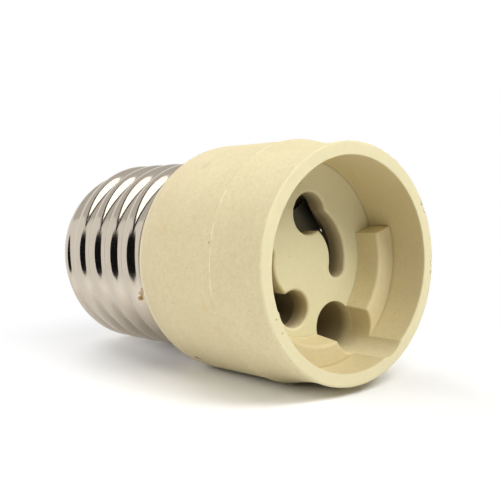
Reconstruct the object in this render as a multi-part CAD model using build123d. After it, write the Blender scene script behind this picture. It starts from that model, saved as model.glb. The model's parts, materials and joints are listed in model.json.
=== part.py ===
from build123d import *
import math
import os

# Lamp socket adapter: a pressed ceramic socket for a two-pin twist-lock lamp, on a large screw cap.
# Millimetres. The axis is X: the mouth looks along +X and the screw points along -X, with +Z up.
# The origin is on the axis, where the rim of the screw shell seats against the ceramic shoulder.
# Clock angles run clockwise from the top, as seen by someone who looks into the mouth.

# Ceramic body, outside
body_length = 37.0          # from the shell's seat to the rim
body_radius = 22.3          # straight rear part
seat_radius = 19.7          # where the rounded shoulder ends, at the shell
shoulder_length = 5.2
seam_depth = 12.8           # pressing seam, behind the rim
seam_radius = 22.5
seam_step = 0.6             # length of the small step behind the seam
waist_depth = 3.3           # slimmest place of the front part, behind the rim
waist_radius = 21.3
lip_radius = 21.5
rim_outer_fillet = 0.4
rim_inner_fillet = 0.15
rim_chips = [(62.2, 0.45), (66.4, 0.5), (93.9, 0.55), (98.7, 0.4)]  # clock angle and size of each
flank_chip = (7.5, 215.3, 0.6)  # place along the axis, clock angle and size

# Cup, floor and ledge
cup_radius = 19.05
cup_depth = 12.9
floor_thickness = 4.0
ledge_radius = 15.1         # top of the raised ledge's inner wall
ledge_foot_radius = 14.4    # foot of that wall, which leans back
ledge_foot_shift = 0.3      # how far right and how far up of the axis the foot is pressed
ledge_height = 5.2
ledge_start = 73.0          # clock angle of the end face that shows
ledge_end = 287.0
ledge_fillet = 0.6
well_circle_radius = 14.95  # far enough out to leave a shallow groove up the cup's wall
well_angle = 149.7
well_radius = 4.7
well_depth = 11.0           # below the floor
well_fillet = 0.4           # where it cuts the ledge's top

# Keyholes: a round hole for the pin's head, and an arc slot that locks it after a quarter turn
pin_circle_radius = 9.0
lock_angle = 101.5          # locked place of the large pin; the small pin locks half a turn on
large_hole_angle = 13.3
large_hole_radius = 4.0
large_slot_width = 4.0
small_hole_angle = 196.7
small_hole_radius = 3.5
small_slot_width = 3.5
cusp_radius = 0.4           # rounding where a hole runs into its slot
keyhole_fillet = 0.5
pocket_margin = 0.9         # room round a keyhole in the pocket behind it

# Neck and rear bore of the body
neck_radius = 16.6
neck_length = 8.0
rear_bore_radius = 14.0
plate_seat = 6.0            # place of the step that the contact plate rests on

# Screw shell, with the rounded thread of the 40 mm lamp cap size
thread_pitch = 6.35
thread_crest_radius = 19.6
thread_arc_radius = 1.85
thread_depth = 1.8
thread_length = 32.0
thread_turn_start = 140.3   # how far round the first turn starts, from the bottom
thread_runout = 2.5
root_fill = 0.1             # how far the plain tube stands above the lowest point of the thread
shell_wall = 0.5
rim_land = 1.5              # plain rim of the shell, ahead of the thread
shell_cone_length = 5.5
shell_end_radius = 13.8

# Closed end of the cap
cap_length = 45.0
insulator_setback = 0.6     # of the plug's inner face behind the end of the thread
insulator_end_radius = 9.6
insulator_bore_radius = 1.7
contact_disc_radius = 8.4
contact_disc_thickness = 1.2
contact_disc_fillet = 0.4
contact_hole_radius = 0.9
centre_bead_radius = 3.2
centre_bead_height = 1.4

# Contacts, springs and what fixes them
strip_width = 5.0
strip_radius = 8.7          # distance of the strip's middle line from the axis
contact_thickness = 0.6
spring_thickness = 0.4
leaf_gap = 1.45             # between the front leaf and the back of the floor
bend_gap = 0.25             # between the corners of the bend and the rear bore
leaf_end = 6.2              # along the strip, from the middle of its slot towards the hole
plate_thickness = 3.0
rivet_place = 2.0
rivet_radius = 1.2
rivet_head_radius = 2.1
rivet_head_height = 0.8
lug_thickness = 0.6
barrel_place = -3.6
barrel_radius = 1.3
barrel_length = 4.5

# Leads
lead_radius = 0.6
sleeve_radius = 1.1
lead_bend_radius = 8.0
shell_lead_end = -23.0
solder_run = 8.5            # how much of the shell lead lies along the shell
lead_straight = 14.0        # how much of the centre lead runs on the axis, ahead of the cap's end
sleeve_share = 0.55         # of the shell lead's slant that its sleeve covers
sleeve_gap = 0.5            # bare wire left between a barrel and its sleeve
solder_radius = 2.0

# Cement and clearances
cement_lip = 1.0            # thickness of cement over the neck's end, and of the bead behind the plate
fit_gap = 0.05              # between pieces that are pushed, cemented or soldered together
plate_gap = 0.2             # round the contact plate
overlap = 0.5               # how far a cutting or joined solid runs past the face it meets
nearness = 0.01             # within this, an edge or corner counts as lying at a place

# Worked out from the values above
floor_x = body_length - cup_depth
pocket_x = floor_x - floor_thickness
ledge_top = floor_x + ledge_height
thread_root_radius = thread_crest_radius - thread_depth
thread_end = -(rim_land + thread_length)
core_radius = thread_root_radius + root_fill
bore_radius = core_radius - shell_wall
shell_end = thread_end - shell_cone_length
insulator_front = thread_end - insulator_setback
disc_face = -(cap_length - centre_bead_height)
rear_leaf_x = plate_seat + fit_gap + contact_thickness / 2
front_leaf_x = pocket_x - leaf_gap - contact_thickness / 2
bend_x = (rear_leaf_x + front_leaf_x) / 2
bend_radius = (front_leaf_x - rear_leaf_x) / 2
bend_reach = math.sqrt((rear_bore_radius - bend_gap) ** 2 - (strip_radius + strip_width / 2) ** 2)
bend_place = bend_radius + contact_thickness / 2 - bend_reach


def front_plane(x):
    """Sketch plane across the axis at x: sketch right is +Y and sketch up is +Z."""
    return Plane(origin=(x, 0, 0), x_dir=(0, 1, 0), z_dir=(1, 0, 0))


def on_clock(radius, angle):
    """Point of a front plane at a clock angle."""
    turn = math.radians(angle)
    return (radius * math.sin(turn), radius * math.cos(turn))


def clock_arc(radius, start, end):
    """Arc about the axis, from one clock angle to a later one."""
    return CenterArc((0, 0), radius, 90 - end, end - start)


def rod(radius, x_from, x_to, place=(0, 0)):
    """Round bar along the axis, at a place of the front plane."""
    face = front_plane(x_from) * Pos(place[0], place[1]) * Circle(radius)
    return extrude(face, x_to - x_from)


def turned(outline):
    """Solid of revolution about the axis from an outline of (x, radius) lines."""
    face = Plane.XZ * make_face(outline)
    return revolve(face, axis=Axis.X)


def turned_points(*points):
    return turned(Polyline(*points, close=True))


def keyhole_face(hole_radius, hole_angle, slot_width, slot_end, margin=0.0):
    """Round hole with its arc slot, widened by a margin, with soft corners where the two meet."""
    hole = Pos(*on_clock(pin_circle_radius, hole_angle)) * Circle(hole_radius + margin)
    slot = SlotArc(clock_arc(pin_circle_radius, hole_angle, slot_end), slot_width + 2 * margin)
    outline = hole + slot
    middle = Vector(*on_clock(pin_circle_radius, hole_angle))
    corners = ShapeList()
    for corner in outline.vertices():
        if abs((Vector(corner) - middle).length - hole_radius - margin) < nearness:
            corners.append(corner)
    return fillet(corners, cusp_radius)


class PinSite:
    """Everything that one pin's keyhole and contact are placed by."""

    def __init__(self, hole_radius, hole_angle, slot_width, slot_end):
        self.hole_radius = hole_radius
        self.hole_angle = hole_angle
        self.slot_width = slot_width
        self.slot_end = slot_end
        self.middle_angle = (hole_angle + slot_end) / 2

    def keyhole(self, margin=0.0):
        return keyhole_face(self.hole_radius, self.hole_angle, self.slot_width, self.slot_end, margin)

    def place(self, along, out=strip_radius):
        """Point of a front plane, from a distance along the strip and one out from the axis."""
        turn = math.radians(self.middle_angle)
        right = out * math.sin(turn) - along * math.cos(turn)
        up = out * math.cos(turn) + along * math.sin(turn)
        return (right, up)

    def strip_plane(self):
        """Sketch plane down the strip's middle line: x runs along the strip and y along the axis."""
        turn = math.radians(self.middle_angle)
        out = Vector(0, math.sin(turn), math.cos(turn))
        along = Vector(0, -math.cos(turn), math.sin(turn))
        return Plane(origin=out * strip_radius, x_dir=along, z_dir=out)


large_pin = PinSite(large_hole_radius, large_hole_angle, large_slot_width, lock_angle)
small_pin = PinSite(small_hole_radius, small_hole_angle, small_slot_width, lock_angle + 180)
pin_sites = {"large_pin": large_pin, "small_pin": small_pin}


def edges_at(solid, x, low_radius, high_radius, place=(0, 0)):
    """Edges that lie in the plane at x, with their middle between two distances from a place in it."""
    found = ShapeList()
    for edge in solid.edges().filter_by_position(Axis.X, x - nearness, x + nearness):
        middle = edge @ 0.5
        if low_radius < math.hypot(middle.Y - place[0], middle.Z - place[1]) < high_radius:
            found.append(edge)
    return found


def rounded_at(solid, x, radius, size, place=(0, 0)):
    """The solid with its edges of one radius about a place, in the plane at x, rounded off."""
    return fillet(edges_at(solid, x, radius - nearness, radius + nearness, place), size)


def body_blank():
    """Outside of the ceramic, turned from one outline."""
    seam_x = body_length - seam_depth
    waist_x = body_length - waist_depth
    outline = [
        Line((0, 0), (0, seat_radius)),
        TangentArc((shoulder_length, body_radius), (0, seat_radius), tangent=(-1, 0)),
        Line((shoulder_length, body_radius), (seam_x - seam_step, body_radius)),
        Line((seam_x - seam_step, body_radius), (seam_x, seam_radius)),
        TangentArc((waist_x, waist_radius), (seam_x, seam_radius), tangent=(-1, 0)),
        TangentArc((waist_x, waist_radius), (body_length, lip_radius), tangent=(1, 0)),
        Line((body_length, lip_radius), (body_length, 0)),
        Line((body_length, 0), (0, 0)),
    ]
    return turned(outline)


def ledge():
    """Raised ring round part of the floor, let into the cup's wall, with an inner wall that leans back."""
    inner = ledge_foot_radius - 2 * ledge_foot_shift
    outer = cup_radius + overlap
    ring = [
        clock_arc(inner, ledge_start, ledge_end),
        clock_arc(outer, ledge_start, ledge_end),
        Line(on_clock(inner, ledge_start), on_clock(outer, ledge_start)),
        Line(on_clock(inner, ledge_end), on_clock(outer, ledge_end)),
    ]
    foot = front_plane(floor_x) * Pos(ledge_foot_shift, ledge_foot_shift) * Circle(ledge_foot_radius)
    top = front_plane(ledge_top) * Circle(ledge_radius)
    block = extrude(front_plane(floor_x - overlap) * make_face(ring), ledge_height + overlap)
    block -= loft([foot, top])
    return rounded_at(block, ledge_top, ledge_radius, ledge_fillet)


def pocket(site):
    """Hollow behind a keyhole, wide enough for the pin's head and for the contact strip."""
    strip_end = leaf_end + pocket_margin
    strip_start = -bend_reach - pocket_margin
    length = strip_end - strip_start
    width = strip_width + 2 * pocket_margin
    middle = site.place((strip_start + strip_end) / 2)
    strip_room = Pos(*middle) * Rot(0, 0, -site.middle_angle) * Rectangle(length, width)
    opening = (site.keyhole(pocket_margin) + strip_room) & Circle(rear_bore_radius)
    return extrude(front_plane(plate_seat) * opening, pocket_x - plate_seat)


def socket_body():
    body = body_blank() + rod(neck_radius, overlap, -neck_length)
    body -= rod(cup_radius, floor_x, body_length)
    body += ledge()
    body -= rod(rear_bore_radius, -neck_length, plate_seat)
    for site in pin_sites.values():
        body -= extrude(front_plane(pocket_x) * site.keyhole(), floor_thickness)
    keyhole_reach = pin_circle_radius + large_hole_radius
    body = fillet(edges_at(body, floor_x, 0, keyhole_reach), keyhole_fillet)
    for site in pin_sites.values():
        body -= pocket(site)
    body = rounded_at(body, body_length, lip_radius, rim_outer_fillet)
    well = on_clock(well_circle_radius, well_angle)
    body -= rod(well_radius, floor_x - well_depth, body_length, well)
    body = rounded_at(body, ledge_top, well_radius, well_fillet, well)
    mouth = edges_at(body, body_length, 0, lip_radius - rim_outer_fillet - nearness)
    body = fillet(mouth, rim_inner_fillet)
    chip_x, chip_angle, chip_size = flank_chip
    body -= Pos(chip_x, *on_clock(body_radius, chip_angle)) * Sphere(chip_size)
    for angle, size in rim_chips:
        body -= Pos(body_length, *on_clock(lip_radius, angle)) * Sphere(size)
    return body


def thread_ridge():
    """One rounded ridge wound along the shell: a crest arc that runs tangent into two root arcs.
    It starts and ends a turn outside the threaded length, and a turned shape trims it to its run-outs."""
    path = Helix(thread_pitch, thread_length + 2 * thread_pitch, thread_root_radius,
                 center=(thread_pitch - rim_land, 0, 0), direction=(-1, 0, 0))
    start = path @ 0
    outward = Vector(0, start.Y, start.Z).normalized()
    section = Plane(origin=start, x_dir=outward, z_dir=path % 0)
    half_turn = math.asin(thread_pitch / 4 / thread_arc_radius)
    crest_middle = thread_depth - thread_arc_radius
    tangent = (crest_middle + thread_arc_radius * math.cos(half_turn),
               thread_arc_radius * math.sin(half_turn))
    foot = (core_radius - thread_root_radius) / 2
    foot_turn = math.acos(1 - foot / thread_arc_radius)
    foot_half = thread_pitch / 2 - thread_arc_radius * math.sin(foot_turn)
    flank_turn = (half_turn + foot_turn) / 2
    flank = (thread_arc_radius * (1 - math.cos(flank_turn)),
             thread_pitch / 2 - thread_arc_radius * math.sin(flank_turn))
    sunk = -shell_wall / 2
    outline = [
        ThreePointArc((tangent[0], -tangent[1]), (thread_depth, 0), tangent),
        ThreePointArc(tangent, flank, (foot, foot_half)),
        Polyline((foot, foot_half), (sunk, foot_half), (sunk, -foot_half), (foot, -foot_half)),
        ThreePointArc((foot, -foot_half), (flank[0], -flank[1]), (tangent[0], -tangent[1])),
    ]
    ridge = sweep(section * make_face(outline), path=path, is_frenet=True)
    room = thread_crest_radius + overlap
    runout = turned_points((-rim_land, 0), (-rim_land, core_radius), (-rim_land - thread_runout, room),
                           (thread_end + thread_runout, room), (thread_end, core_radius), (thread_end, 0))
    return (ridge & runout).rotate(Axis.X, -thread_turn_start)


def screw_shell():
    tube = turned_points((0, bore_radius), (0, core_radius), (thread_end, core_radius),
                         (shell_end, shell_end_radius), (shell_end, shell_end_radius - shell_wall),
                         (thread_end, bore_radius))
    return tube + thread_ridge()


def shell_cement():
    """Cement sleeve between neck and shell, turned in over the end of the neck."""
    outer = bore_radius - fit_gap
    inner = neck_radius + fit_gap
    back = -neck_length - fit_gap
    lip = back - cement_lip
    return turned_points((-fit_gap, inner), (-fit_gap, outer), (lip, outer), (lip, rear_bore_radius),
                         (back, rear_bore_radius), (back, inner))


def contact_plate():
    plate = rod(rear_bore_radius - plate_gap, plate_seat - plate_thickness, plate_seat)
    for site in pin_sites.values():
        plate -= rod(rivet_radius + fit_gap, 0, plate_seat + overlap, site.place(rivet_place))
    return plate


def plate_cement():
    """Bead in the corner between the plate's back and the rear bore."""
    back = plate_seat - plate_thickness - fit_gap
    outer = rear_bore_radius - fit_gap
    corner = [
        Line((back, outer), (back, outer - cement_lip)),
        RadiusArc((back, outer - cement_lip), (back - cement_lip, outer), cement_lip),
        Line((back - cement_lip, outer), (back, outer)),
    ]
    return turned(corner)


def hairpin(site, thickness, inset):
    """Strip bent back in a wide half turn: the rear leaf lies on the plate, the front one behind the hole."""
    radius = bend_radius - inset
    rear = bend_x - radius
    front = bend_x + radius
    line = [
        Line((leaf_end, rear), (bend_place, rear)),
        ThreePointArc((bend_place, rear), (bend_place - radius, bend_x), (bend_place, front)),
        Line((bend_place, front), (leaf_end, front)),
    ]
    leaf = extrude(site.strip_plane() * trace(line, thickness), strip_width / 2, both=True)
    return leaf - rod(rivet_radius + fit_gap, rear - thickness, rear + thickness, site.place(rivet_place))


def pin_contact(site):
    return hairpin(site, contact_thickness, 0)


def pin_spring(site):
    return hairpin(site, spring_thickness, contact_thickness / 2 + fit_gap + spring_thickness / 2)


def rivet(site):
    """Rivet through spring, contact, plate and lug."""
    front = plate_seat + contact_thickness + spring_thickness + 3 * fit_gap
    back = plate_seat - plate_thickness - lug_thickness - 2 * fit_gap
    place = site.place(rivet_place)
    shank = rod(rivet_radius, back - rivet_head_height, front + rivet_head_height, place)
    head = rod(rivet_head_radius, front, front + rivet_head_height, place)
    tail = rod(rivet_head_radius, back - rivet_head_height, back, place)
    return shank + head + tail


def lead_lug(site):
    """Flat lug under the rivet's tail, with a barrel for the lead."""
    front = plate_seat - plate_thickness - fit_gap
    back = front - lug_thickness
    length = rivet_place - barrel_place
    width = 2 * rivet_head_radius
    tongue = Pos(*site.place((rivet_place + barrel_place) / 2)) * Rot(0, 0, -site.middle_angle)
    lug = extrude(front_plane(back) * tongue * SlotCenterToCenter(length, width), lug_thickness)
    lug += rod(barrel_radius, back, back - barrel_length, site.place(barrel_place))
    lug -= rod(lead_radius + fit_gap, front, back - barrel_length, site.place(barrel_place))
    return lug - rod(rivet_radius + fit_gap, front, back, site.place(rivet_place))


def lead_points(site, start_x):
    """First two points of a lead: a start on its barrel's line, and the end of the straight run."""
    right, up = site.place(barrel_place)
    return (start_x, right, up), (-neck_length - overlap, right, up)


def wall_point(site, x):
    """Point where a lead lies along the inside of the shell."""
    right, up = site.place(barrel_place)
    out = (bore_radius - fit_gap - lead_radius) / math.hypot(right, up)
    return (x, right * out, up * out)


def round_sweep(route, face):
    return sweep(Plane(origin=route @ 0, z_dir=route % 0) * face, path=route)


def lead_and_sleeve(site, wire_points, sleeve_points):
    """Bare wire along its whole route, and the sleeve over its first stretch."""
    wire_start = plate_seat - plate_thickness - 2 * fit_gap
    sleeve_start = wire_start - lug_thickness - barrel_length - sleeve_gap
    wire_route = FilletPolyline(*lead_points(site, wire_start), *wire_points, radius=lead_bend_radius)
    sleeve_route = FilletPolyline(*lead_points(site, sleeve_start), *sleeve_points, radius=lead_bend_radius)
    wire = round_sweep(wire_route, Circle(lead_radius))
    sleeve = round_sweep(sleeve_route, Circle(sleeve_radius) - Circle(lead_radius + fit_gap))
    return wire, sleeve


def centre_lead_pair():
    on_axis = (shell_end + lead_straight, 0, 0)
    return lead_and_sleeve(large_pin, [on_axis, (disc_face, 0, 0)],
                           [on_axis, (insulator_front + sleeve_gap, 0, 0)])


def shell_lead_pair():
    turn_off = Vector(lead_points(small_pin, 0)[1])
    at_wall = Vector(wall_point(small_pin, shell_lead_end + solder_run))
    wire_end = wall_point(small_pin, shell_lead_end)
    sleeve_end = turn_off + (at_wall - turn_off) * sleeve_share
    return lead_and_sleeve(small_pin, [at_wall, wire_end], [sleeve_end])


def shell_solder():
    """Bead on the inside of the shell, round the end of its lead."""
    middle = wall_point(small_pin, shell_lead_end + solder_radius / 2)
    bead = Pos(*middle) * Sphere(solder_radius)
    bead &= rod(bore_radius - fit_gap, shell_lead_end - 2 * solder_radius, 0)
    return bead - rod(lead_radius + fit_gap, shell_lead_end - fit_gap, 0, middle[1:])


def cap_insulator():
    """Glass plug in the shell's cone, drawn in to the seat of the contact disc."""
    cone_slope = (bore_radius - shell_end_radius + shell_wall) / shell_cone_length
    end_radius = shell_end_radius - shell_wall - fit_gap
    front_radius = end_radius + cone_slope * (insulator_front - shell_end)
    seat = disc_face + contact_disc_thickness + fit_gap
    return turned_points((insulator_front, insulator_bore_radius), (insulator_front, front_radius),
                         (shell_end, end_radius), (seat, insulator_end_radius), (seat, insulator_bore_radius))


def centre_contact():
    back = disc_face + contact_disc_thickness
    disc = rod(contact_disc_radius, disc_face, back) - rod(contact_hole_radius, disc_face, back)
    return rounded_at(disc, disc_face, contact_disc_radius, contact_disc_fillet)


def centre_solder():
    """Dome of solder that closes the hole in the contact disc."""
    face = disc_face - fit_gap
    dome = [
        Line((face, 0), (face, centre_bead_radius)),
        TangentArc((-cap_length, 0), (face, centre_bead_radius), tangent=(0, 1)),
        Line((-cap_length, 0), (face, 0)),
    ]
    return turned(dome)


def build_parts():
    """Every piece by its node name."""
    centre_lead, centre_lead_sleeve = centre_lead_pair()
    shell_lead, shell_lead_sleeve = shell_lead_pair()
    parts = {
        "socket_body": socket_body(),
        "screw_shell": screw_shell(),
        "shell_cement": shell_cement(),
        "contact_plate": contact_plate(),
        "plate_cement": plate_cement(),
        "contact_rivets": Compound([rivet(site) for site in pin_sites.values()]),
        "lead_lugs": Compound([lead_lug(site) for site in pin_sites.values()]),
        "centre_lead": centre_lead,
        "centre_lead_sleeve": centre_lead_sleeve,
        "shell_lead": shell_lead,
        "shell_lead_sleeve": shell_lead_sleeve,
        "shell_solder": shell_solder(),
        "cap_insulator": cap_insulator(),
        "centre_contact": centre_contact(),
        "centre_solder": centre_solder(),
    }
    for name, site in pin_sites.items():
        parts[name + "_contact"] = pin_contact(site)
        parts[name + "_spring"] = pin_spring(site)
    return parts


if __name__ == "__main__":
    os.makedirs("parts", exist_ok=True)
    for name, solid in build_parts().items():
        export_step(solid, f"parts/{name}.step")
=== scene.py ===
"""Looks of the lamp socket adapter: cream pressed ceramic on a bright nickel screw cap, on a white table.
Metres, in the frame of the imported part: +X out of the socket's mouth, +Z up."""
import json
import math

import bpy
from mathutils import Matrix, Vector


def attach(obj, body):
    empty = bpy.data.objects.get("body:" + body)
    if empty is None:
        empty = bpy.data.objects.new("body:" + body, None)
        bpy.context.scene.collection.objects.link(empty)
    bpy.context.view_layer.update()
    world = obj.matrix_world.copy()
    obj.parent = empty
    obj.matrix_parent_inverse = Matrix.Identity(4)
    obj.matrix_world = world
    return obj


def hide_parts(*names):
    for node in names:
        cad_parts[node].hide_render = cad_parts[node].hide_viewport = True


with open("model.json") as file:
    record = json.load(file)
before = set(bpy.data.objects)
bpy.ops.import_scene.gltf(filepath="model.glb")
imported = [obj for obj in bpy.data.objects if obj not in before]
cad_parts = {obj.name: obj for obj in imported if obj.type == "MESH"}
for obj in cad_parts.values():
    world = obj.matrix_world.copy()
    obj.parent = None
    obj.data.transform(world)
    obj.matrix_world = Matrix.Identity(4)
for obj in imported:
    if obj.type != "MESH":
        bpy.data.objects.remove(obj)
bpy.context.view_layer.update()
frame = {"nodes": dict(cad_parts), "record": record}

MM = 0.001

# Camera, as fitted to the photograph
camera_place = Vector((142.3, -111.45, 14.27)) * MM
camera_forward = Vector((-0.7655, 0.6394, -0.0726))
camera_up = Vector((-0.0328, 0.0740, 0.9968))
camera_lens = 63.44
camera_sensor = 36.0
camera_clip = 0.01

# Rolled screw shell, in millimetres
thread_pitch = 6.35
crest_radius = 19.6
root_radius = 17.8
arc_radius = 1.85
core_radius = 17.9
bore_radius = 17.4
thread_start = 2.0
thread_stop = 33.5
thread_runout = 3.1
near_crest = -7.0       # a crest on the side towards the camera
shell_stop = 39.0
end_radius = 13.8
shell_wall = 0.5
rim_break = 0.15
cone_bend = 1.5
cone_angle = math.atan2(core_radius - end_radius, shell_stop - thread_stop)
cone_steps = 8
shell_sides = 240
thread_step = 0.15
sharp_angle = math.radians(40)

# Forms of the ceramic that its finish follows, in millimetres
floor_x = 24.1
rim_x = 37.0
cup_radius = 19.05
holes_reach = 19.8          # the well and the keyholes stay inside this radius
seam_x = 24.2
seam_radius = 22.5
waist_x = 33.7
waist_radius = 21.3
shoulder_reach = (3.2, 4.0)
shoulder_inside = (19.0, 19.5)

# Table, which touches the pressing seam and the last turn of the thread
last_crest_x = -30.8
seam_rest = Vector((seam_x, 0.0, -seam_radius)) * MM
thread_rest = Vector((last_crest_x, 0.0, -crest_radius)) * MM
table_half = 1.5
table_paper = (0.98, 0.98, 0.98, 1)
table_bounce = (0.90, 0.90, 0.90, 1)    # what the table throws back on to the part
table_shade_reach = (0.03, 0.095)       # from the seam's rest, where the shadow begins and ends to fade

# Marks on the ceramic: place along the axis, radius, clock angle and size, in millimetres.
# Clock angles run clockwise from the top, seen from the mouth.
chip_darkening = [
    (36.95, 21.2, 62.2, 0.60),
    (36.95, 21.2, 66.4, 0.65),
    (36.95, 21.2, 93.9, 0.70),
    (36.95, 21.2, 98.7, 0.55),
    (7.5, 22.3, 215.3, 1.00),
]
specks = [(24.4, 22.4, 282.9, 0.30), (37.0, 19.86, 248.4, 0.26), (37.0, 19.83, 240.6, 0.24)]
rust_stains = [(10.3, 22.3, 288.0, 1.6), (21.9, 22.3, 253.6, 1.3), (23.3, 22.3, 242.8, 1.1)]
grey_stain = (12.3, 22.3, 325.5, 1.6)

# Flash along the pressing seam, by clock angle and place of both ends, in millimetres
flash_runs = [
    ((259.0, 24.75), (268.0, 24.80)),
    ((270.0, 24.80), (281.0, 24.80)),
    ((284.0, 24.75), (292.0, 24.55)),
    ((300.0, 24.45), (308.0, 24.42)),
    ((331.0, 24.35), (342.0, 24.32)),
]
flash_height = 0.10
flash_width = 0.30
flash_sink = 0.03
flash_across = (-1.0, -0.5, -0.2, 0.2, 0.5, 1.0)
flash_rows = 4              # to a degree

# Cement at the joint, in millimetres: smears, like the marks above, and runs by clock angles and height
cement_smears = [
    (-3.8, 18.4, 255.0, 0.6),
    (-4.1, 18.4, 252.5, 0.7),
    (-4.4, 18.5, 250.0, 0.7),
    (-4.8, 18.5, 247.5, 0.7),
]
cement_runs = [(222.0, 300.0, 0.22), (246.0, 258.0, 0.75), (275.0, 282.0, 0.40)]
cement_spread = 1.2         # reach along the shell, for each millimetre of height
cement_gap = 0.02
cement_sink = 0.05
cement_across = (0.0, 0.25, 0.5, 0.75, 1.0)
cement_rows = 3             # to a degree

# Bright lip on the edge of the large pin's contact, seen through its keyhole, in millimetres
lip_x = 18.72
lip_ends = [Vector((lip_x, 9.74, 5.54)), Vector((lip_x, 10.40, 4.68))]
lip_radius = 0.32
lip_rows = 12
lip_steps = 8

# Round softboxes, by angle from +X towards +Y, height angle and level on the part (1 is a white surround)
lamps = {
    "key": (20, 45, 0.72),
    "near_key": (-20, 45, 0.28),
    "side": (-100, 30, 0.44),
    "back": (180, 45, 0.47),
}
lamp_distance = 0.6
lamp_size = 0.36
surround_level = 0.03

# Things about the room, which show only where glossy surfaces mirror them
stand_middle = Vector((46.0, -78.5, 10.0)) * MM
stand_turn = math.radians(36)
stand_size = (94.0 * MM, 88.0 * MM)
stand_dark = 0.01
stand_sides = 48
# The panel's left edge, by height angle and angle from -Y towards +X, and the angle of its right edge
panel_left = [(14, 74), (26, 66), (37, 56), (50, 44), (63, 30), (75, 12), (86, -20)]
panel_right = 115
panel_across = 13               # points from edge to edge
panel_distance = 0.50
panel_level = 2.2
rail_width = 12                 # degrees, of the dark rail along the panel's left edge
ceiling_height = 0.62
ceiling_half = 0.70
ceiling_grey = 0.68

# Colours of the ceramic
ceramic_tints = {
    "cream": (0.695, 0.605, 0.370, 1),
    "pale_cream": (0.725, 0.635, 0.395, 1),
    # The rear tint is painted warm light on the rear of the body.
    "rear": (0.695, 0.575, 0.375, 1),
    "mottle": (0.630, 0.540, 0.310, 1),
    "dapple": (0.600, 0.510, 0.290, 1),
    "grain": (0.560, 0.470, 0.260, 1),
    "fleck": (0.770, 0.710, 0.480, 1),
    "rust": (0.640, 0.450, 0.190, 1),
    "grey": (0.420, 0.390, 0.300, 1),
    # The cup, rim edge, corner and hollow tints are painted shade; the rim, floor and shoulder tints are
    # painted light.
    "cup_shade": (0.610, 0.490, 0.240, 1),
    "rim": (0.780, 0.715, 0.450, 1),
    "rim_edge_shade": (0.500, 0.450, 0.310, 1),
    "lit_floor": (0.720, 0.680, 0.415, 1),
    "shoulder_highlight": (0.800, 0.730, 0.540, 1),
    "corner": (0.420, 0.340, 0.180, 1),
    "hollow_shade": (0.270, 0.205, 0.105, 1),
    "speck": (0.340, 0.250, 0.130, 1),
    "dark_spot": (0.160, 0.115, 0.060, 1),
}

# Colours of the shell, and the range of the flash's and the glass's
shell_tints = {
    "nickel": (0.60, 0.535, 0.445, 1),
    "tarnish": (0.50, 0.41, 0.31, 1),
    "joint": (0.30, 0.25, 0.19, 1),
    "cement": (0.40, 0.24, 0.07, 1),
}
# The flash's paler tints are a painted highlight along its ridge.
flash_tints = ((0.700, 0.640, 0.420, 1), (0.860, 0.800, 0.600, 1))
glass_tints = ((0.012, 0.011, 0.012, 1), (0.030, 0.027, 0.027, 1))

# Metals: colour, tarnish, roughness and size of the rolling marks in millimetres
metals = {
    # The contact's colour and tarnish are painted shade: far darker than its metal, for the shade deep in
    # the socket.
    "contact_metal": ((0.10, 0.092, 0.062, 1), (0.075, 0.062, 0.040, 1), 0.42, 0.4),
    "spring_steel": ((0.36, 0.36, 0.37, 1), (0.20, 0.19, 0.19, 1), 0.22, 0.4),
    "lead_wire": ((0.52, 0.50, 0.46, 1), (0.34, 0.30, 0.26, 1), 0.28, 0.3),
    "solder": ((0.60, 0.60, 0.59, 1), (0.42, 0.41, 0.40, 1), 0.20, 0.8),
    "centre_disc": ((0.62, 0.55, 0.42, 1), (0.44, 0.36, 0.25, 1), 0.22, 0.5),
    "worn_lip": ((0.86, 0.84, 0.80, 1), (0.60, 0.56, 0.50, 1), 0.08, 0.4),
}

# Matt stuff: colour, darker colour, size and depth of the grain in millimetres, roughness
matt_stuff = {
    "plate_ceramic": ((0.74, 0.70, 0.62, 1), (0.66, 0.61, 0.52, 1), 0.8, 0.03, 0.6),
    "brown_cement": ((0.42, 0.27, 0.12, 1), (0.14, 0.08, 0.04, 1), 0.5, 0.15, 0.75),
    "sleeve_fibre": ((0.66, 0.62, 0.52, 1), (0.50, 0.46, 0.38, 1), 0.25, 0.08, 0.8),
}


class Field:
    """Something that comes out of a node. Arithmetic on it adds Math nodes."""

    def __init__(self, graph, socket):
        self.graph = graph
        self.socket = socket

    def maths(self, operation, first, second):
        return self.graph.node("Math", {"operation": operation}, {0: first, 1: second})

    def __add__(self, other):
        return self.maths("ADD", self, other)

    def __radd__(self, other):
        return self.maths("ADD", other, self)

    def __sub__(self, other):
        return self.maths("SUBTRACT", self, other)

    def __rsub__(self, other):
        return self.maths("SUBTRACT", other, self)

    def __mul__(self, other):
        return self.maths("MULTIPLY", self, other)

    def __rmul__(self, other):
        return self.maths("MULTIPLY", other, self)

    def __pow__(self, other):
        return self.maths("POWER", self, other)

    def at_most(self, other):
        return self.maths("MINIMUM", self, other)

    def at_least(self, other):
        return self.maths("MAXIMUM", self, other)


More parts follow.
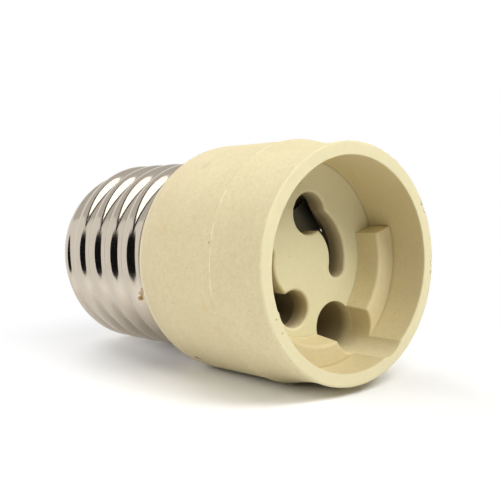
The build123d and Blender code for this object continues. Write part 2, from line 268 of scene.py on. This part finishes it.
class Graph:
    """A node tree that is filled by code. Socket values are numbers, colours, vectors or Fields."""

    def __init__(self, tree, output="OutputMaterial"):
        self.tree = tree
        tree.nodes.clear()
        self.ending = tree.nodes.new("ShaderNode" + output)

    def node(self, kind, settings=None, sockets=None, out=0):
        made = self.tree.nodes.new("ShaderNode" + kind)
        for name, value in (settings or {}).items():
            setattr(made, name, value)
        for name, value in (sockets or {}).items():
            if isinstance(value, Field):
                self.tree.links.new(value.socket, made.inputs[name])
            else:
                made.inputs[name].default_value = value
        return Field(self, made.outputs[out])

    def place_mm(self):
        """Place on the part, in millimetres."""
        metres = self.node("TexCoord", out="Object")
        return self.node("VectorMath", {"operation": "SCALE"}, {0: metres, "Scale": 1 / MM})

    def axis(self, place, name):
        return self.node("SeparateXYZ", None, {0: place}, name)

    def spot(self, place, mark, ragged):
        """1 in the middle of a ragged mark, 0 outside it."""
        x, radius, angle, size = mark
        sockets = {0: place, 1: clock_place(x, radius, angle)}
        gap = self.node("VectorMath", {"operation": "DISTANCE"}, sockets, "Value")
        return 1 - self.step(gap + size * (ragged - 0.5), size * 0.35, size)

    def noise(self, place, size_mm, detail=3.0, roughness=0.5):
        sockets = {"Vector": place, "Scale": 1 / size_mm, "Detail": detail, "Roughness": roughness}
        return self.node("TexNoise", None, sockets, "Fac")

    def step(self, value, low, high):
        """0 below low, 1 above high, smooth between."""
        settings = {"interpolation_type": "SMOOTHSTEP"}
        return self.node("MapRange", settings, {"Value": value, "From Min": low, "From Max": high})

    def between(self, value, rise, fall):
        """1 between the two pairs of values, 0 outside them."""
        return self.step(value, *rise) * (1 - self.step(value, *fall))

    def blend(self, share, first, second):
        """Colour between two, by a share from 0 to 1."""
        return self.node("Mix", {"data_type": "RGBA"}, {0: share, 6: first, 7: second}, 2)

    def bump(self, height, strength, depth_mm):
        return self.node("Bump", None, {"Height": height, "Strength": strength, "Distance": depth_mm * MM})

    def seen(self):
        """1 for what the eye, a mirror or glass sees, 0 for light on its way to the part."""
        rays = [self.node("LightPath", out=f"Is {ray} Ray") for ray in ("Camera", "Glossy", "Transmission")]
        return rays[0].at_least(rays[1]).at_least(rays[2])

    def surface(self, **sockets):
        """Principled shader with the sockets named in words joined by underscores, wired to the output."""
        named = {name.replace("_", " "): value for name, value in sockets.items()}
        self.output(self.node("BsdfPrincipled", None, named))

    def output(self, shader):
        self.tree.links.new(shader.socket, self.ending.inputs["Surface"])


def linked(name, data):
    """New object in the scene."""
    made = bpy.data.objects.new(name, data)
    bpy.context.scene.collection.objects.link(made)
    return made


def finish(name):
    """New material, and the graph that fills it."""
    material = bpy.data.materials.new(name)
    material.use_nodes = True
    return material, Graph(material.node_tree)


def clock_place(x, radius, angle):
    """Place in the part's frame, of something at a clock angle."""
    turn = math.radians(angle)
    return x, radius * math.sin(turn), radius * math.cos(turn)


def pressed_clay(g, along, noises):
    """Mottle of the pressed clay, with a warmer tint at the rear that is painted warm light: shares and
    tints of its layers.
    """
    return [
        ((1 - g.step(along + 5.0 * noises["cloud"], 2.0, 18.0)) * 0.60, "rear"),
        (g.step(noises["mottle"], 0.40, 0.75) * 0.45, "mottle"),
        (g.step(noises["dapple"], 0.45, 0.75) * 0.30, "dapple"),
        (g.step(noises["grain"], 0.45, 0.75) * 0.35, "grain"),
        ((1 - g.step(noises["dapple"], 0.25, 0.45)) * 0.30, "fleck"),
    ]


def outside_stains(g, place, noises):
    """Faint rust and grey stains on the outside."""
    rust = [(g.spot(place, stain, noises["mottle"]) * 0.30, "rust") for stain in rust_stains]
    return rust + [(g.spot(place, grey_stain, noises["mottle"]) * 0.25, "grey")]


def socket_zones(g, along, side, height, radius, noises):
    """Tints that follow the socket's form, all painted light and shade: painted shade inside the mouth, on
    the rim's outer edge, in corners and down the holes; painted light on the rim's face, on the bottom of
    the mouth and along the rear edge.
    """
    # Painted shade: the cup's walls warmer and darker, more so towards the top, where the rim shades them.
    within_wall = 1 - g.step(radius, cup_radius - 0.05, cup_radius + 0.35)
    cup_shade = g.step(along, floor_x + 0.1, floor_x + 0.9) * within_wall
    # Painted shade on the rounded outer edge of the rim, on the +Y side, with a ragged border.
    ragged_radius = radius + 0.2 * (noises["dapple"] - 0.5)
    rim_edge_shade = g.step(ragged_radius, waist_radius - 0.20, waist_radius + 0.05)
    rim_edge_shade = rim_edge_shade * g.step(along, rim_x - 0.8, rim_x - 0.2)
    # Painted light: the cup's floor lighter and greener, as where a lamp falls on it.
    lit_floor = g.between(along, (floor_x - 0.5, floor_x - 0.2), (floor_x + 0.1, floor_x + 0.4))
    inside_cup = 1 - g.step(radius, cup_radius - 0.55, cup_radius - 0.05)
    # Painted highlight: a pale band along the edge of the rear shoulder.
    shoulder_highlight = (1 - g.step(along, *shoulder_reach)) * g.step(radius, *shoulder_inside)
    # Painted shade: darker in corners, by ambient occlusion.
    open_sky = g.node("AmbientOcclusion", {"samples": 8, "only_local": True}, {"Distance": 1.1 * MM}, "AO")
    corner = 1 - g.step(open_sky + 0.15 * (noises["mottle"] - 0.5), 0.40, 0.80)
    # Painted shade: darker with depth in the holes below the cup's floor.
    inside_holes = 1 - g.step(radius, holes_reach, holes_reach + 0.2)
    hollow_shade = g.step(floor_x - along, 0.1, 3.2) * inside_holes * g.step(along, 3.0, 5.0)
    return [
        (cup_shade * (0.35 + 0.30 * g.step(height, -5.0, 12.0)), "cup_shade"),
        # Painted light: the rim's face paler, as where light falls on it from the front.
        (g.step(along, rim_x - 0.5, rim_x - 0.1) * 0.60, "rim"),
        (rim_edge_shade * g.step(side, 15.0, 18.0) * 0.45, "rim_edge_shade"),
        (lit_floor * inside_cup * 0.60, "lit_floor"),
        (shoulder_highlight * 0.50, "shoulder_highlight"),
        (corner * 0.55, "corner"),
        (hollow_shade * 0.80, "hollow_shade"),
    ]


def grime(g, place, noises):
    """Small brown specks all over, and darker spots in the chips and in a few pits."""
    cell = g.node("TexVoronoi", {"feature": "F1"}, {"Vector": place, "Scale": 1 / 3.6}, "Distance")
    layers = [((1 - g.step(cell + 0.12 * noises["mottle"], 0.09, 0.12)) * 0.40, "speck")]
    for marks, share in ((chip_darkening, 0.75), (specks, 0.50)):
        layers += [(g.spot(place, mark, noises["dapple"]) * share, "dark_spot") for mark in marks]
    return layers


def cream_ceramic():
    """Unglazed pressed ceramic: cream, mottled, stained, with fine pits, and with painted light and shade
    in its tints, darkest in corners and down the holes.
    """
    material, g = finish("cream_ceramic")
    place = g.place_mm()
    along, side, height = (g.axis(place, name) for name in "XYZ")
    radius = (side * side + height * height) ** 0.5
    noises = {
        "cloud": g.noise(place, 9.0, 3.0),
        "mottle": g.noise(place, 1.3, 4.0, 0.65),
        "dapple": g.noise(place, 0.6, 2.0, 0.6),
        "grain": g.noise(place, 0.35, 3.0, 0.6),
    }
    cream = g.blend(g.step(noises["cloud"], 0.3, 0.7), ceramic_tints["cream"], ceramic_tints["pale_cream"])
    layers = pressed_clay(g, along, noises) + outside_stains(g, place, noises)
    layers += socket_zones(g, along, side, height, radius, noises) + grime(g, place, noises)
    for share, tint in layers:
        cream = g.blend(share, cream, ceramic_tints[tint])
    pit = g.step(g.noise(place, 0.9, 2.0), 0.66, 0.74)
    relief = noises["grain"] * 0.5 + noises["mottle"] * 0.6 - pit * 0.8
    roughness = 0.62 + 0.16 * noises["mottle"]
    g.surface(Base_Color=cream, Roughness=roughness, IOR=1.45, Normal=g.bump(relief, 0.35, 0.05))
    return material


def pressed_flash():
    """Squeezed-out edge of the press. Its colour, paler than the ceramic about it, is a painted highlight
    along the ridge.
    """
    material, g = finish("pressed_flash")
    dapple = g.noise(g.place_mm(), 0.6, 2.0, 0.6)
    pale = g.blend(dapple, *flash_tints)
    g.surface(Base_Color=pale, Roughness=0.7, Normal=g.bump(dapple, 0.3, 0.04))
    return material


def bright_metal(name, colour, tarnish, shine, marks_mm):
    """Plated or plain metal with rolling marks, faint smears and a little tarnish."""
    material, g = finish(name)
    place = g.place_mm()
    smear = g.noise(place, 5.0, 4.0, 0.6)
    marks = g.noise(place, marks_mm, 2.0, 0.5)
    colour = g.blend(g.step(smear, 0.45, 0.8) * 0.35, colour, tarnish)
    roughness = shine + 0.06 * g.step(smear, 0.4, 0.8)
    g.surface(Base_Color=colour, Metallic=1.0, Roughness=roughness, Normal=g.bump(marks, 0.02, 0.004))
    return material


def nickel_shell():
    """Bright nickel plate with faint smears, darker in a band next to the joint, with cement on the first
    turn.
    """
    material, g = finish("nickel_shell")
    place = g.place_mm()
    smear = g.noise(place, 5.0, 4.0, 0.6)
    fleck = g.noise(place, 0.7, 3.0, 0.6)
    plate = g.blend(g.step(smear, 0.45, 0.8) * 0.35, shell_tints["nickel"], shell_tints["tarnish"])
    joint = g.step(g.axis(place, "X") + 0.8 * (fleck - 0.5), -4.6, -3.4)
    plate = g.blend(joint * 0.6, plate, shell_tints["joint"])
    cement = sum(g.spot(place, mark, fleck) for mark in cement_smears).at_most(1.0)
    plate = g.blend(cement, plate, shell_tints["cement"])
    roughness = 0.10 + 0.06 * g.step(smear, 0.4, 0.8) + 0.4 * cement
    g.surface(Base_Color=plate, Metallic=1 - cement, Roughness=roughness)
    return material


def rough_stuff(name, colour, dark, grain_mm, depth_mm, roughness):
    """Cement, fibre and other matt stuff with a grain."""
    material, g = finish(name)
    grain = g.noise(g.place_mm(), grain_mm, 4.0, 0.65)
    colour = g.blend(g.step(grain, 0.35, 0.7), dark, colour)
    g.surface(Base_Color=colour, Roughness=roughness + 0.1 * grain, Normal=g.bump(grain, 0.6, depth_mm))
    return material


def black_glass():
    """Black glass of the cap's end: glossy, with faint pour ripples."""
    material, g = finish("black_glass")
    ripple = g.noise(g.place_mm(), 4.0, 2.0)
    colour = g.blend(ripple, *glass_tints)
    g.surface(Base_Color=colour, Roughness=0.08 + 0.12 * ripple, Normal=g.bump(ripple, 0.15, 0.2))
    return material


finishes = {
    "cream_ceramic": cream_ceramic(),
    "nickel_shell": nickel_shell(),
    "black_glass": black_glass(),
    "pressed_flash": pressed_flash(),
}
finishes |= {name: bright_metal(name, *values) for name, values in metals.items()}
finishes |= {name: rough_stuff(name, *values) for name, values in matt_stuff.items()}

for subpart in frame["record"]["subparts"]:
    piece = frame["nodes"][subpart["node"]]
    piece.data.materials.clear()
    piece.data.materials.append(finishes[subpart["material_slot"]])
frame["nodes"]["centre_contact"].data.materials[0] = finishes["centre_disc"]


def smooth(value, low, high):
    """0 below low, 1 above high, smooth between."""
    share = min(max((value - low) / (high - low), 0.0), 1.0)
    return share * share * (3 - 2 * share)


def thread_radius(x, turn):
    """Outside radius of the rolled shell in mm: crest and root arcs of one size, faded out at both ends."""
    along_helix = x - near_crest + thread_pitch * turn / math.tau
    from_crest = (along_helix + thread_pitch / 2) % thread_pitch - thread_pitch / 2
    from_root = thread_pitch / 2 - abs(from_crest)
    if abs(from_crest) < thread_pitch / 4:
        radius = crest_radius - arc_radius + math.sqrt(arc_radius ** 2 - from_crest ** 2)
    else:
        radius = root_radius + arc_radius - math.sqrt(arc_radius ** 2 - from_root ** 2)
    rise = smooth(-x, thread_start, thread_start + thread_runout)
    fall = smooth(x, -thread_stop, thread_runout - thread_stop)
    return core_radius + (radius - core_radius) * rise * fall


def thread_normal(x, turn):
    """Direction that the rolled shell faces, from the slopes of its radius."""
    nudge_x, nudge_turn = 0.01, 0.001
    rise_x = (thread_radius(x + nudge_x, turn) - thread_radius(x - nudge_x, turn)) / (2 * nudge_x)
    rise_turn = thread_radius(x, turn + nudge_turn) - thread_radius(x, turn - nudge_turn)
    lean = rise_turn / (2 * nudge_turn * thread_radius(x, turn))
    outward = Vector((0, -math.cos(turn), math.sin(turn)))
    onward = Vector((0, math.sin(turn), math.cos(turn)))
    return (outward - lean * onward - rise_x * Vector((1, 0, 0))).normalized()


def shell_rows():
    """Rings of the rolled shell, by place and radius in mm. On the thread the radius is left open."""
    rows = [(0.0, bore_radius), (0.0, core_radius - rim_break), (-rim_break, core_radius)]
    rows += [(-step * thread_step, None) for step in range(2, int(thread_stop / thread_step))]
    rows += [(-thread_stop, core_radius)]
    for step in range(1, cone_steps + 1):
        bend = step / cone_steps * cone_angle
        drop = cone_bend * (1 - math.cos(bend))
        rows.append((-thread_stop - cone_bend * math.sin(bend), core_radius - drop))
    rows += [(-shell_stop, end_radius), (-shell_stop, end_radius - shell_wall)]
    return rows + [(-thread_stop, bore_radius)]


def rolled_shell():
    """Screw shell rolled from sheet: thread outside, plain bore inside, drawn in to a cone at the end."""
    rows = shell_rows()
    points, normals, faces = [], [], []
    for x, radius in rows:
        for step in range(shell_sides):
            turn = math.tau * step / shell_sides
            out = thread_radius(x, turn) if radius is None else radius
            points.append((x * MM, -out * math.cos(turn) * MM, out * math.sin(turn) * MM))
            normals.append(thread_normal(x, turn) if radius is None else Vector())
    for row in range(len(rows)):
        here = row * shell_sides
        there = (row + 1) % len(rows) * shell_sides
        for step in range(shell_sides):
            after = (step + 1) % shell_sides
            faces.append((here + step, here + after, there + after, there + step))
    mesh = bpy.data.meshes.new("rolled_shell")
    mesh.from_pydata(points, [], faces)
    mesh.shade_smooth()
    mesh.set_sharp_from_angle(angle=sharp_angle)
    mesh.normals_split_custom_set_from_vertices(normals)
    mesh.materials.append(finishes["nickel_shell"])
    shell = linked("rolled_shell", mesh)
    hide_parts("screw_shell")
    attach(shell, "root")


def strip_faces(count, across):
    """Faces between rows of points, so many across."""
    corners = [row * across + step for row in range(count // across - 1) for step in range(across - 1)]
    return [(corner, corner + 1, corner + across + 1, corner + across) for corner in corners]


def lumpy_strip(name, points, across, material):
    """Small raised strip on the part, in the given finish."""
    mesh = bpy.data.meshes.new(name)
    mesh.from_pydata([Vector(point) * MM for point in points], [], strip_faces(len(points), across))
    mesh.shade_smooth()
    mesh.materials.append(material)
    strip = linked(name, mesh)
    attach(strip, "root")


def flank_radius(x):
    """Outside radius of the ceramic between the seam and the waist, in mm."""
    drop = seam_radius - waist_radius
    bend = ((waist_x - seam_x) ** 2 + drop ** 2) / (2 * drop)
    return waist_radius + bend - math.sqrt(bend ** 2 - (waist_x - x) ** 2)


def seam_flash():
    """Thin, uneven ridges of flash along the pressing seam."""
    for number, ((start, start_x), (stop, stop_x)) in enumerate(flash_runs, 1):
        points = []
        rows = int(flash_rows * (stop - start))
        for row in range(rows + 1):
            share = row / rows
            angle = start + share * (stop - start)
            taper = min(1.0, 6 * share, 6 * (1 - share))
            rise = flash_height * taper * (0.75 + 0.25 * math.sin(2.7 * angle))
            middle = start_x + share * (stop_x - start_x) + 0.05 * math.sin(1.9 * angle)
            for place in flash_across:
                x = middle + place * flash_width / 2
                out = flank_radius(x) - flash_sink + (rise + flash_sink) * (1 - place ** 2)
                points.append(clock_place(x, min(out, seam_radius), angle))
        name = f"seam_flash_{number}"
        lumpy_strip(name, points, len(flash_across), finishes["pressed_flash"])


def cement_traces():
    """Cement squeezed out at the joint of the shell and the ceramic."""
    for number, (start, stop, height) in enumerate(cement_runs, 1):
        points = []
        rows = int(cement_rows * (stop - start))
        for row in range(rows + 1):
            share = row / rows
            angle = start + share * (stop - start)
            taper = min(1.0, 4 * share, 4 * (1 - share))
            swell = taper * (0.8 + 0.2 * math.sin(1.7 * angle))
            for place in cement_across:
                x = -cement_gap - cement_spread * height * place * swell
                out = core_radius - cement_sink + height * swell * math.sqrt(1 - place ** 2)
                points.append(clock_place(x, out, angle))
        name = f"cement_trace_{number}"
        lumpy_strip(name, points, len(cement_across), finishes["brown_cement"])


def contact_lip():
    """Worn, bright lip where the edge of the contact is turned up."""
    start, stop = lip_ends
    run = (stop - start).normalized()
    out = Vector((1, 0, 0))
    aside = run.cross(out)
    points = []
    for row in range(lip_rows + 1):
        share = row / lip_rows
        reach = lip_radius * math.sqrt(1 - (2 * share - 1) ** 4)
        for step in range(lip_steps + 1):
            turn = math.pi * step / lip_steps
            points.append(start.lerp(stop, share) + reach * (math.sin(turn) * out + math.cos(turn) * aside))
    lumpy_strip("contact_lip", points, lip_steps + 1, finishes["worn_lip"])


def photo_camera():
    """Camera at the photograph's place and angle."""
    back = -camera_forward.normalized()
    right = camera_up.cross(back).normalized()
    turn = Matrix((right, back.cross(right), back)).transposed()
    data = bpy.data.cameras.new("photo_camera")
    data.lens = camera_lens
    data.sensor_width = camera_sensor
    data.clip_start = camera_clip
    camera = linked("photo_camera", data)
    camera.matrix_world = Matrix.Translation(camera_place) @ turn.to_4x4()
    bpy.context.scene.camera = camera


def square(half, height):
    """Corners of a level square about the middle, in metres."""
    return [(x * half, y * half, height) for x, y in ((-1, -1), (1, -1), (1, 1), (-1, 1))]


def table():
    """White table under the part, white to the eye away from the shadow."""
    material, g = finish("white_table")
    place = g.node("TexCoord", out="Object")
    far = g.step(g.node("VectorMath", {"operation": "LENGTH"}, {0: place}, "Value"), *table_shade_reach)
    seen = g.seen()
    paper = g.node("BsdfDiffuse", None, {"Color": g.blend(seen, table_bounce, table_paper)})
    white = g.node("Emission", None, {"Color": (1, 1, 1, 1), "Strength": 1.0})
    g.output(g.node("MixShader", None, {0: far * seen, 1: paper, 2: white}))
    slope = (seam_rest - thread_rest).normalized()
    across = Vector((0, 1, 0))
    up = slope.cross(across).normalized()
    mesh = bpy.data.meshes.new("table")
    mesh.from_pydata(square(table_half, 0), [], [(0, 1, 2, 3)])
    mesh.materials.append(material)
    made = linked("table", mesh)
    made.matrix_world = Matrix.Translation(seam_rest) @ Matrix((slope, across, up)).transposed().to_4x4()


def softbox(name, compass, height, level):
    """Round soft light that looks at the part and shows in no mirror."""
    turn, rise = math.radians(compass), math.radians(height)
    aim = Vector((math.cos(turn) * math.cos(rise), math.sin(turn) * math.cos(rise), math.sin(rise)))
    data = bpy.data.lights.new(name, "AREA")
    data.shape = "DISK"
    data.size = lamp_size
    data.energy = level * (math.pi * lamp_distance) ** 2
    lamp = linked(name, data)
    lamp.location = aim * lamp_distance
    lamp.rotation_euler = (-aim).to_track_quat("-Z", "Y").to_euler()
    lamp.visible_glossy = False


def studio():
    """White surround that lights the part only faintly, and the softboxes that light it."""
    scene = bpy.context.scene
    scene.view_settings.view_transform = "Standard"
    scene.world = bpy.data.worlds.new("studio")
    scene.world.use_nodes = True
    g = Graph(scene.world.node_tree, "OutputWorld")
    level = surround_level + (1 - surround_level) * g.seen()
    g.output(g.node("Background", None, {"Color": (1, 1, 1, 1), "Strength": level}))
    for name, (compass, height, strength) in lamps.items():
        softbox(name, compass, height, strength)


def mirrored_only(name, points, faces, level, soft_height=None):
    """Thing that shows only where glossy surfaces mirror it. Its top and foot may be soft."""
    material, g = finish(name)
    shade = g.node("Emission", None, {"Color": (level, level, level, 1), "Strength": 1.0})
    if soft_height:
        reach = g.axis(g.node("TexCoord", out="Object"), "Y") * (2 / soft_height)
        clear = g.node("BsdfTransparent")
        shade = g.node("MixShader", None, {0: g.step(reach * reach, 0.35, 1.0), 1: shade, 2: clear})
    g.output(shade)
    mesh = bpy.data.meshes.new(name)
    mesh.from_pydata(points, [], faces)
    mesh.materials.append(material)
    made = linked(name, mesh)
    for ray in ("camera", "diffuse", "transmission", "shadow", "volume_scatter"):
        setattr(made, "visible_" + ray, False)
    return made


def hung(name, left_and_right, level, across):
    """Thing hung over the part, from the angles of its left and right edges at each height angle."""
    points = []
    for height, left, right in left_and_right:
        rise = math.radians(height)
        for step in range(across):
            turn = math.radians(left + step / (across - 1) * (right - left))
            level_aim = Vector((math.sin(turn), -math.cos(turn), 0)) * math.cos(rise)
            points.append((level_aim + Vector((0, 0, math.sin(rise)))) * panel_distance)
    mirrored_only(name, points, strip_faces(len(points), across), level)


def room():
    """Dark camera stand, grey ceiling, and a white panel over the part with a dark rail on its left."""
    wide, tall = stand_size
    turns = [math.tau * step / stand_sides for step in range(stand_sides)]
    oval = [(wide / 2 * math.cos(turn), tall / 2 * math.sin(turn), 0) for turn in turns]
    stand = mirrored_only("camera_stand", oval, [tuple(range(stand_sides))], stand_dark, tall)
    stand.location = stand_middle
    stand.rotation_euler = (math.pi / 2, 0, stand_turn)
    mirrored_only("ceiling", square(ceiling_half, ceiling_height), [(0, 1, 2, 3)], ceiling_grey)
    hung("panel", [(height, left, panel_right) for height, left in panel_left], panel_level, panel_across)
    rail = []
    for height, left in panel_left:
        rail.append((height, left - rail_width / math.cos(math.radians(height)), left))
    hung("panel_rail", rail, stand_dark, 2)


rolled_shell()
seam_flash()
cement_traces()
contact_lip()
studio()
table()
room()
photo_camera()
